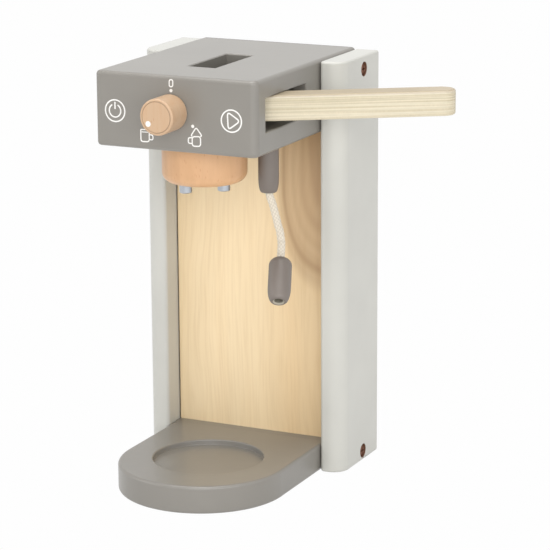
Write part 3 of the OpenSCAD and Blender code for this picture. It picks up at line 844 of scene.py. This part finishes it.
    def execute(self, context):
        sizes = context.scene.maker_turnings
        skins = finishes()
        route = [Vector(p) * MM for p in CORD_MM]
        turn = Matrix.Rotation(self.heading, 4, "Z") @ Matrix.Rotation(-self.lean, 4, "X")
        wand_top = route[-1] + turn @ Vector((0, 0, -sizes.wand_drop))
        line = smooth_route(route, self.fineness)
        line += [line[-1].lerp(wand_top, step / 6) for step in range(1, 7)]
        cord = self.braid("braided_cord", line, sizes)
        dress(cord, skins["cotton"], "wand", "cotton_cord", "frother_cord")
        self.holder(sizes, skins["wand"])
        wand = self.wand(sizes, skins, Matrix.Translation(wand_top) @ turn)

        return {"FINISHED"}


class MAKER_OT_base(bpy.types.Operator):
    """Base board with its cup recess"""

    bl_idname = "maker.base"
    bl_label = "Base board"

    def execute(self, context):
        b = context.scene.maker_boards
        low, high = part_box("base")
        post_low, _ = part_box("post_right")
        radius = (high.x - low.x) / 2 - b.gap
        top = high.z
        turn_y = low.y + radius
        board = rod("base_board", (0, turn_y, top / 2), radius, top, sides=160)
        edit_all(board)
        bpy.ops.mesh.bisect(plane_co=(0, turn_y, 0), plane_no=(0, 1, 0), use_fill=True,
                            clear_outer=True)
        leave()
        tuck_y = post_low.y + 8 * MM  # how far back the rounded rim runs beside the posts
        pick(board, "faces", lambda f: f.normal.y > 0.9)
        for reach in (tuck_y - turn_y, high.y - tuck_y):
            bpy.ops.mesh.extrude_region_move(TRANSFORM_OT_translate={"value": (0, reach, 0)})
        leave()
        spout_low, spout_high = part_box("spout_block")
        pour = Vector((0, spout_low.y / 2 + spout_high.y / 2, top))
        cut_out(board, rod("cup_cutter", pour, b.recess_radius, 2 * b.recess_depth, sides=160))

        def from_pour(point):
            return math.hypot(point.x, point.y - pour.y)

        def on_outline(edge):
            a, c = ends(edge)
            side = all(abs(abs(p.x) - radius) < NEAR for p in (a, c)) and a.y != c.y
            front = all(abs(math.hypot(p.x, p.y - turn_y) - radius) < 2e-5 for p in (a, c))
            level = abs(a.z - c.z) < 1e-6 and (abs(a.z - top) < NEAR or abs(a.z) < NEAR)
            clear = all(p.y < tuck_y + 1 * MM and from_pour(p) > b.recess_radius + 1 * MM
                        for p in (a, c))
            return level and clear and (side or front) and min(a.y, c.y) < tuck_y - 1 * MM

        def on_recess(z):
            return lambda edge: all(abs(from_pour(p) - b.recess_radius) < 3e-5
                                    and abs(p.z - z) < NEAR for p in ends(edge))

        round_edges(board, b.base_arris, 5, on_outline)
        round_edges(board, b.recess_rim, 3, on_recess(top))
        round_edges(board, 0.5 * MM, 2, on_recess(top - b.recess_depth))
        smooth(board)
        dress(board, finishes()["taupe"], "stand", "taupe_paint", "base")
        return {"FINISHED"}


class MAKER_OT_posts(bpy.types.Operator):
    """The two side posts with round front edges and screw holes"""

    bl_idname = "maker.posts"
    bl_label = "Posts"

    def screw_spots(self, outer):
        """The middles of the screw holes' mouths in a post's outer face."""
        boxes = [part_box(screws) for screws in ("base_side_screws", "head_side_screws")]
        return [Vector((outer, (a.y + b.y) / 2, (a.z + b.z) / 2)) for a, b in boxes]

    def post(self, node, side, sizes):
        """One post. Its outer face is on the given side."""
        low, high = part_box(node)
        outer, inner = (high.x, low.x) if side > 0 else (low.x, high.x)
        piece = block(node.replace("post", "side_post"), low, high)
        round_front(piece, low, outer, sizes.post_outer, 12)
        round_front(piece, low, inner, sizes.post_inner, 12)
        round_back(piece, high, sizes.post_arris)
        round_rims(piece, low, high, sizes.post_arris, 4)
        for spot in self.screw_spots(outer):
            cut_out(piece, rod("hole_cutter", spot, sizes.hole_radius, 2 * sizes.hole_depth,
                               turn=(0, math.pi / 2, 0), sides=40))
            round_edges(piece, 0.35 * MM, 2,
                        lambda e: all(abs((p - spot).length - sizes.hole_radius) < 2e-5
                                      and abs(p.x - outer) < NEAR for p in ends(e)))
        return smooth(piece), outer

    def execute(self, context):
        sizes = context.scene.maker_boards
        skins = finishes()
        for node, side in (("post_left", -1), ("post_right", 1)):
            piece, outer = self.post(node, side, sizes)
            dress(piece, skins["pale"], "stand", "pale_paint", node)
            piece.data.materials.append(skins["board"])
            for spot in self.screw_spots(outer):
                for face in piece.data.polygons:
                    c = face.center
                    reach = math.hypot(c.y - spot.y, c.z - spot.z)
                    if reach < sizes.hole_radius + NEAR and abs(c.x - outer) > 0.3 * MM:
                        face.material_index = 1
        return {"FINISHED"}


class MAKER_OT_head(bpy.types.Operator):
    """Painted head with the capsule slot and the lever's bay"""

    bl_idname = "maker.head"
    bl_label = "Head"

    def hollow(self, head, low, high, floor_z, b):
        """Cuts the capsule slot, the lever's bay and the bay's slot, and eases both slots."""
        roof_z = floor_z + b.bay_height
        half = b.slot_width / 2
        inner = high.x - b.bay_wall
        well_y, slot_y = low.y + b.slot_front, low.y + b.bay_front
        well_end, slot_end = well_y + b.slot_length, slot_y + b.bay_length
        past_slot = 5 * MM  # how far the bay runs on behind its slot
        cut_out(head, block("well_cutter", (-half, well_y, floor_z),
                            (half, well_end, high.z + AWAY)))
        cut_out(head, block("bay_cutter", (half + b.well_wall, low.y + b.front_wall, floor_z),
                            (inner, slot_end + past_slot, roof_z)))
        cut_out(head, block("slot_cutter", (inner - AWAY, slot_y, floor_z),
                            (high.x + AWAY, slot_end, roof_z)))
        rim, deep = b.slot_rim, b.slot_rim + 0.2 * MM
        self.ease(head, 2, high.z, deep, (-half - rim, well_y - rim, high.z - deep),
                  (half + rim, well_end + rim, high.z + rim))
        self.ease(head, 0, high.x, deep, (high.x - deep, slot_y - rim, floor_z - rim),
                  (high.x + rim, slot_end + rim, roof_z + rim))

    def ease(self, head, axis, face, deep, low, high):
        """Flares a slot's mouth in the head's face with a cutter whose inner edges slope."""
        flare = block("flare_cutter", low, high)
        round_edges(flare, deep, 1, lambda e: all(p[axis] < face - deep + NEAR for p in ends(e)))
        cut_out(head, flare)

    def execute(self, context):
        b = context.scene.maker_boards
        low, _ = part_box("head_floor")
        shell_low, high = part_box("head_shell")
        low.x += b.gap
        high.x -= b.gap
        head = block("head_box", low, high)
        round_front(head, low, low.x, b.head_left, 6)
        round_front(head, low, high.x, b.head_right, 6)
        round_back(head, high, b.post_arris)
        round_rims(head, low, high, b.head_arris, 5)
        self.hollow(head, low, high, shell_low.z, b)
        edit_all(head)
        bpy.ops.mesh.dissolve_limited(angle_limit=math.radians(0.05))
        bpy.ops.mesh.select_all(action="SELECT")
        bpy.ops.mesh.quads_convert_to_tris(quad_method="BEAUTY", ngon_method="BEAUTY")
        bpy.ops.mesh.dissolve_degenerate(threshold=NEAR)
        leave()
        smooth(head)
        dress(head, finishes()["taupe"], "stand", "taupe_paint", "head_shell", "head_floor")
        return {"FINISHED"}


class MAKER_OT_lever(bpy.types.Operator):
    """Plywood lever with round ends"""

    bl_idname = "maker.lever"
    bl_label = "Lever"

    reach: length("Length", "Overall length of the lever", 148.8 * MM)
    width: length("Width", "Width of the lever", 17 * MM)
    lift: length("Lift", "How far the lever sits above its plain solid", 0.5 * MM)
    bore: length("Bore", "Radius of the hole for the pivot", 4.08 * MM)

    def execute(self, context):
        t = context.scene.maker_turnings
        low, high = (v + Vector((0, 0, self.lift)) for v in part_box("lever"))
        pin_low, pin_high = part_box("lever_pivot")
        half = self.width / 2
        bar = block("lever_bar", (-half, -half, low.z), (self.reach - half, half, high.z))
        round_edges(bar, half * 0.985, 14, upright)
        round_rims(bar, low, high, t.lever_arris, 4)
        cut_out(bar, rod("bore_cutter", (0, 0, (low.z + high.z) / 2), self.bore,
                         (high.z - low.z) + 2 * AWAY, sides=48))
        centre = (pin_low + pin_high) / 2
        place(bar, Matrix.Translation((centre.x, centre.y, 0))
              @ Matrix.Rotation(t.lever_turn, 4, "Z"))
        smooth(bar)
        dress(bar, finishes()["ply"], "lever", "plywood", "lever")
        return {"FINISHED"}


class MAKER_OT_knob(bpy.types.Operator):
    """Turned dial knob with its white pointer dot"""

    bl_idname = "maker.knob"
    bl_label = "Knob"

    def execute(self, context):
        t = context.scene.maker_turnings
        skins = finishes()
        low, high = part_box("knob")
        radius, deep = (high.x - low.x) / 2, high.y - low.y
        edge, groove = 1.1 * MM, radius - 1.7 * MM
        foot = 0.6 * MM
        profile = [(0, 0), (radius - foot, 0)]
        profile += arc(radius - foot, foot, foot, foot, -90, 0, 4)[1:]
        profile += arc(radius - edge, deep - edge, edge, edge, 0, 90, 6)
        profile += [(groove + 0.25 * MM, deep - 0.03 * MM), (groove + 0.1 * MM, deep - 0.2 * MM),
                    (groove - 0.1 * MM, deep - 0.2 * MM), (groove - 0.25 * MM, deep),
                    (radius * 0.5, deep), (0, deep)]
        centre = Vector(((low.x + high.x) / 2, high.y, (low.z + high.z) / 2))
        face_out = Matrix.Rotation(math.pi / 2, 4, "X")
        knob = turned("dial_knob", profile, Matrix.Translation(centre) @ face_out, 30, 96)
        dress(knob, skins["knob"], "knob", "beech", "knob")
        # Painted shade: the faces of the groove take a darker copy of the knob's wood.
        knob.data.materials.append(skins["groove_shade"])
        for face in knob.data.polygons:
            reach = math.hypot(face.center.x - centre.x, face.center.z - centre.z)
            if abs(reach - groove) < 0.3 * MM and face.center.y < low.y + 1 * MM:
                face.material_index = 1

        dot = t.dot_radius
        profile = [(0, 0.12 * MM), (dot * 0.8, 0.10 * MM), (dot, 0.02 * MM), (dot, -0.3 * MM),
                   (0, -0.3 * MM)]
        spot = Vector((t.dot_reach * math.cos(t.dot_angle), 0,
                       t.dot_reach * math.sin(t.dot_angle)))
        face = Vector((centre.x, low.y, centre.z))
        dome = turned("pointer_dot", profile, Matrix.Translation(face + spot) @ face_out, 40, 32)
        dress(dome, skins["print"], "knob", "pale_paint")
        return {"FINISHED"}


class MAKER_OT_spout(bpy.types.Operator):
    """Turned spout block with its two nozzles"""

    bl_idname = "maker.spout"
    bl_label = "Spout"

    bore: length("Bore", "Radius of the screw's recess in the underside", 6.3 * MM)
    bore_end: length("Bore end", "Distance of the recess's end below the block's top", 13 * MM)

    def execute(self, context):
        skins = finishes()
        low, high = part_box("spout_block")
        radius, tall = (high.x - low.x) / 2, high.z - low.z
        edge, brim = 6.5 * MM, 0.8 * MM
        profile = [(0, 0), (radius - brim, 0)]
        profile += arc(radius - brim, -brim, brim, brim, 90, 0, 4)[1:]
        profile += arc(radius - edge, -tall + edge, edge, edge, 0, -90, 10)
        profile += [(self.bore, -tall), (self.bore, -self.bore_end), (0, -self.bore_end)]
        spout = turned("spout_disc", profile, over(low, high, high.z), 40, 96)
        dress(spout, skins["beech"], "spout", "beech", "spout_block")
        for node in ("nozzle_left", "nozzle_right"):
            self.nozzle(node, low.z, skins["nozzle"])
        return {"FINISHED"}

    def nozzle(self, node, under, skin):
        """One nozzle: a tube with a broken lip and a collar against the block's underside."""
        low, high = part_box(node)
        radius, drop = (high.x - low.x) / 2, under - low.z
        wall, collar, seat = 1.0 * MM, 0.5 * MM, 0.2 * MM
        profile = [(0, 0.9 * drop), (radius - wall, 0.9 * drop), (radius - wall, 0.3 * MM),
                   (radius - 0.7 * MM, 0), (radius - 0.35 * MM, 0), (radius, 0.4 * MM),
                   (radius, drop - 2.2 * MM), (radius + collar, drop - 1.8 * MM),
                   (radius + collar, drop + seat), (0, drop + seat)]
        nozzle = turned(node + "_tube", profile, over(low, high, low.z), 30, 48)
        dress(nozzle, skin, "spout", "nozzle_metal", node)


class MAKER_OT_marks(bpy.types.Operator):
    """Printed marks round the dial: generic signs and the figure nought"""

    bl_idname = "maker.marks"
    bl_label = "Dial marks"

    line: length("Line", "Width of the printed lines", 0.86 * MM)
    proud: length("Proud", "Thickness of the print", 0.06 * MM)

    def ribbon(self, points, closed, share):
        """A flat ribbon of a share of the line's width along points, as (vertices, faces)."""
        count = len(points)
        half = share * self.line / 2
        verts, faces = [], []
        for i in range(count):
            here = Vector(points[i])
            before = Vector(points[i - 1]) if closed or i else here
            after = Vector(points[(i + 1) % count]) if closed or i < count - 1 else here
            along = ((here - before).normalized() + (after - here).normalized()).normalized()
            side = Vector((-along.y, along.x))
            first = (here - before).normalized() if (here - before).length else along
            lift = max(0.5, abs(first.dot(along)))
            verts += [here + side * half / lift, here - side * half / lift]
        spans = count if closed else count - 1
        for i in range(spans):
            a, b = 2 * i, 2 * ((i + 1) % count)
            faces.append((a, a + 1, b + 1, b))
        return verts, faces

    def bend(self, points, reach, closed):
        """A line whose corners are rounded, from a reach before each to a reach after it."""
        line, count = [], len(points)
        for i, corner in enumerate(points):
            here = Vector(corner)
            if not closed and i in (0, count - 1):
                line.append(here)
                continue
            back = Vector(points[i - 1]) - here
            ahead = Vector(points[(i + 1) % count]) - here
            a = here + back.normalized() * min(reach, 0.49 * back.length)
            c = here + ahead.normalized() * min(reach, 0.49 * ahead.length)
            for k in range(7):
                t = k / 6
                line.append(a * (1 - t) ** 2 + here * 2 * t * (1 - t) + c * t * t)
        return line

    def ring(self, x, z, wide, tall, start=0, stop=360):
        """Points of an upright oval or of part of it."""
        steps = max(8, int((stop - start) / 7.5))
        closed = stop - start >= 360
        return [(x + wide * math.cos(math.radians(start + (stop - start) * i / steps)),
                 z + tall * math.sin(math.radians(start + (stop - start) * i / steps)))
                for i in range(steps if closed else steps + 1)]

    def thicken(self, piece):
        """Gives flat print its thickness."""
        return apply_step(piece, "SOLIDIFY", thickness=self.proud, offset=0)

    def mark(self, name, lines, skin, front):
        """One mark made of lines in mm across and up the head's front."""
        mesh = bmesh.new()
        for layer, (points, closed, share) in enumerate(lines):
            verts, faces = self.ribbon([Vector(p) * MM for p in points], closed, share)
            level = front - layer * 0.02 * MM
            made = [mesh.verts.new((v.x, level, v.y)) for v in verts]
            for face in faces:
                mesh.faces.new([made[i] for i in face])
        piece = from_bmesh(name, mesh)
        edit_all(piece)
        bpy.ops.mesh.normals_make_consistent(inside=False)
        leave()
        return dress(self.thicken(piece), skin, "stand", "pale_paint")

    def dot(self, name, x, z, skin, front):
        """A printed dot."""
        bpy.ops.object.select_all(action="DESELECT")
        bpy.ops.mesh.primitive_circle_add(vertices=28, radius=1.05 * MM, fill_type="NGON",
                                          location=(x * MM, front, z * MM),
                                          rotation=(math.pi / 2, 0, 0))
        return dress(self.thicken(settle(name)), skin, "stand", "pale_paint")

    def execute(self, context):
        skin = finishes()["print"]
        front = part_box("head_shell")[0].y

        def stroke(points, reach, closed, share):
            return self.bend(points, reach, closed), closed, share

        marks = {
            "mark_power": [
                (self.ring(-41.2, 246.7, 6.75, 6.75), True, 1),
                (self.ring(-41.25, 246.75, 4.0, 4.0, 118, 422), False, 1),
                ([(-41.2, 252.2), (-41.2, 247.7)], False, 1),
            ],
            "mark_start": [
                (self.ring(38.35, 246.1, 6.75, 6.75), True, 1),
                stroke([(35.7, 251.6), (44.2, 246.4), (36.2, 240.6)], 2.6, True, 1),
            ],
            "mark_nought": [
                stroke([(-3.4, 268.4), (-0.95, 268.6), (-1.0, 264.3), (-3.4, 264.1)],
                       1.3, True, 0.85),
            ],
            "mark_mug": [
                stroke([(-23.55, 236.4), (-23.6, 228.9), (-17.8, 229.1), (-17.75, 236.6)],
                       1.7, False, 0.9),
                stroke([(-17.8, 233.6), (-15.2, 233.4), (-15.2, 230.4), (-17.8, 230.6)],
                       1.2, False, 0.9),
                ([(-23.3, 236.4), (-18.0, 236.6)], False, 0.8),
                ([(-22.9, 234.9), (-18.4, 235.0)], False, 0.6),
            ],
            "mark_cream": [
                stroke([(11.75, 234.6), (11.7, 228.7), (17.4, 229.0), (17.4, 235.0)],
                       1.8, True, 0.9),
                stroke([(11.7, 233.9), (9.1, 233.8), (9.05, 230.3), (11.7, 230.4)],
                       1.2, False, 0.9),
                stroke([(11.9, 234.8), (11.0, 235.3), (14.5, 240.4), (18.3, 235.7),
                        (17.3, 235.0)], 1.3, False, 0.9),
            ],
        }
        for name, lines in marks.items():
            self.mark(name, lines, skin, front)
        for name, x, z in (("dot_nought", -2.3, 261.8), ("dot_mug", -16.7, 240.9),
                           ("dot_cream", 12.2, 240.95)):
            self.dot(name, x, z, skin, front)
        return {"FINISHED"}


class MAKER_OT_panel_board(bpy.types.Operator):
    """Veneered back panel, its long edges eased beside the posts"""

    bl_idname = "maker.panel_board"
    bl_label = "Back panel"

    def execute(self, context):
        b = context.scene.maker_boards
        low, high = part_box("back_panel")
        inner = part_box("post_right")[0].x
        panel = block("panel_board", low, high)
        for side in (-1, 1):
            middle = side * (inner - b.joint / 2)
            cut_out(panel, block("joint_cutter",
                                 (middle - b.joint / 2, low.y - AWAY, low.z - AWAY),
                                 (middle + b.joint / 2, low.y + 1.0 * MM, high.z + AWAY)))
        dress(panel, finishes()["panel"], "stand", "panel_veneer", "back_panel")
        return {"FINISHED"}


class MAKER_OT_plain_nodes(bpy.types.Operator):
    """Finishes on the dowels and screws, whose own shape is shown"""

    bl_idname = "maker.plain_nodes"
    bl_label = "Dowels and screws"

    def execute(self, context):
        skins = finishes()
        shown = {
            "beech": ("head_dowels", "base_dowels", "lever_pivot", "lever_spacer", "knob_axle"),
            "zinc": ("head_floor_screws", "knob_washer", "knob_screw", "spout_screw",
                     "spout_washer", "frother_holder_screw"),
            "bronze": ("head_side_screws", "base_side_screws"),
        }
        for skin, nodes in shown.items():
            for node in nodes:
                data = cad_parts[node].data
                data.materials.clear()
                data.materials.append(skins[skin])
        return {"FINISHED"}


STEPS = (MAKER_OT_stage, MAKER_OT_milk_wand, MAKER_OT_base, MAKER_OT_posts, MAKER_OT_head,
         MAKER_OT_lever, MAKER_OT_knob, MAKER_OT_spout, MAKER_OT_marks, MAKER_OT_panel_board,
         MAKER_OT_plain_nodes)


class MAKER_PT_panel(bpy.types.Panel):
    """Lists the pieces of the machine"""

    bl_idname = "MAKER_PT_panel"
    bl_label = "Coffee Maker"
    bl_space_type = "VIEW_3D"
    bl_region_type = "UI"
    bl_category = "Coffee Maker"

    def draw(self, context):
        for step in STEPS:
            self.layout.operator(step.bl_idname)
        for group in (context.scene.maker_boards, context.scene.maker_turnings,
                      context.scene.maker_colours):
            box = self.layout.box()
            for key in group.__annotations__:
                box.prop(group, key)


GROUPS = {"maker_boards": MakerBoards, "maker_turnings": MakerTurnings,
          "maker_colours": MakerColours}


def register():
    for group in GROUPS.values():
        bpy.utils.register_class(group)
    for name, group in GROUPS.items():
        setattr(bpy.types.Scene, name, PointerProperty(type=group))
    for step in (*STEPS, MAKER_PT_panel):
        bpy.utils.register_class(step)


def unregister():
    for step in reversed((*STEPS, MAKER_PT_panel)):
        bpy.utils.unregister_class(step)
    for name, group in GROUPS.items():
        delattr(bpy.types.Scene, name)
        bpy.utils.unregister_class(group)


def main():
    register()
    for step in STEPS:
        group, name = step.bl_idname.split(".")
        getattr(getattr(bpy.ops, group), name)()


if __name__ == "__main__":
    main()
